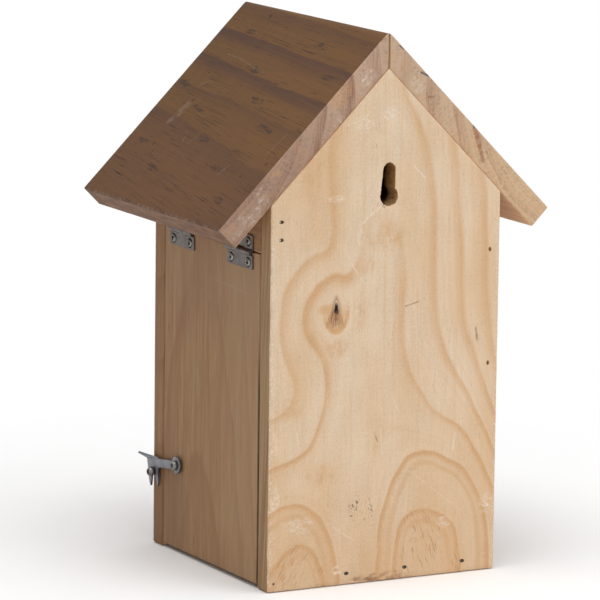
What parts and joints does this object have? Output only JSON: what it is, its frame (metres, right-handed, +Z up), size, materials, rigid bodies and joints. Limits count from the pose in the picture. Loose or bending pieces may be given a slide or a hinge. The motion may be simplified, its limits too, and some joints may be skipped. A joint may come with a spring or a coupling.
{
  "type": "bird nest box",
  "caption": "Upright wooden bird nest box with an apex roof, a round entrance, a keyhole hanger in the back and a top-hinged side door closed by a forked swing latch.",
  "frame": {"origin": "Middle of the whole box's footprint, on the surface that the box stands on.", "axes": "+X across the box towards the hinged side door, +Y towards the wall that the back panel hangs on, +Z up; the entrance hole faces -Y."},
  "size_m": [0.2008, 0.166, 0.2977],
  "materials": {
    "raw_pine": "planed, bare",
    "stained_pine": "thin brown stain, matt",
    "hinge_steel": "dull pewter",
    "latch_steel": "dull zinc",
    "screw_steel": "zinc plated",
    "nail_steel": "dull wire"
  },
  "bodies": {
    "carcass": {"back_panel": "raw_pine", "front_panel": "stained_pine", "fixed_side_panel": "stained_pine", "door_header": "stained_pine", "floor_panel": "raw_pine", "roof_board_door_side": "stained_pine", "roof_board_fixed_side": "stained_pine", "back_panel_nails": "nail_steel", "front_panel_nails": "nail_steel", "fixed_side_nails": "nail_steel", "roof_nails": "nail_steel", "ridge_nails": "nail_steel", "front_hinge_fixed_leaf": "hinge_steel", "rear_hinge_fixed_leaf": "hinge_steel", "front_hinge_pin": "hinge_steel", "rear_hinge_pin": "hinge_steel", "header_hinge_screws": "screw_steel", "latch_keeper_screw": "screw_steel"},
    "door": {"door_panel": "stained_pine", "front_hinge_door_leaf": "hinge_steel", "rear_hinge_door_leaf": "hinge_steel", "door_hinge_screws": "screw_steel", "latch_pivot_screw": "screw_steel", "latch_washer": "latch_steel"},
    "latch": {"latch_hook": "latch_steel"}
  },
  "joints": [
    {"name": "door_hinge", "type": "hinge", "parent": "carcass", "child": "door", "pos_m": [0.0716, 0.014, 0.1815], "axis": [0, -1, 0], "range_deg": [0, 110]},
    {"name": "latch_pivot", "type": "hinge", "parent": "door", "child": "latch", "pos_m": [0.072, -0.02295, 0.04971], "axis": [-1, 0, 0], "range_deg": [0, 105]}
  ]
}
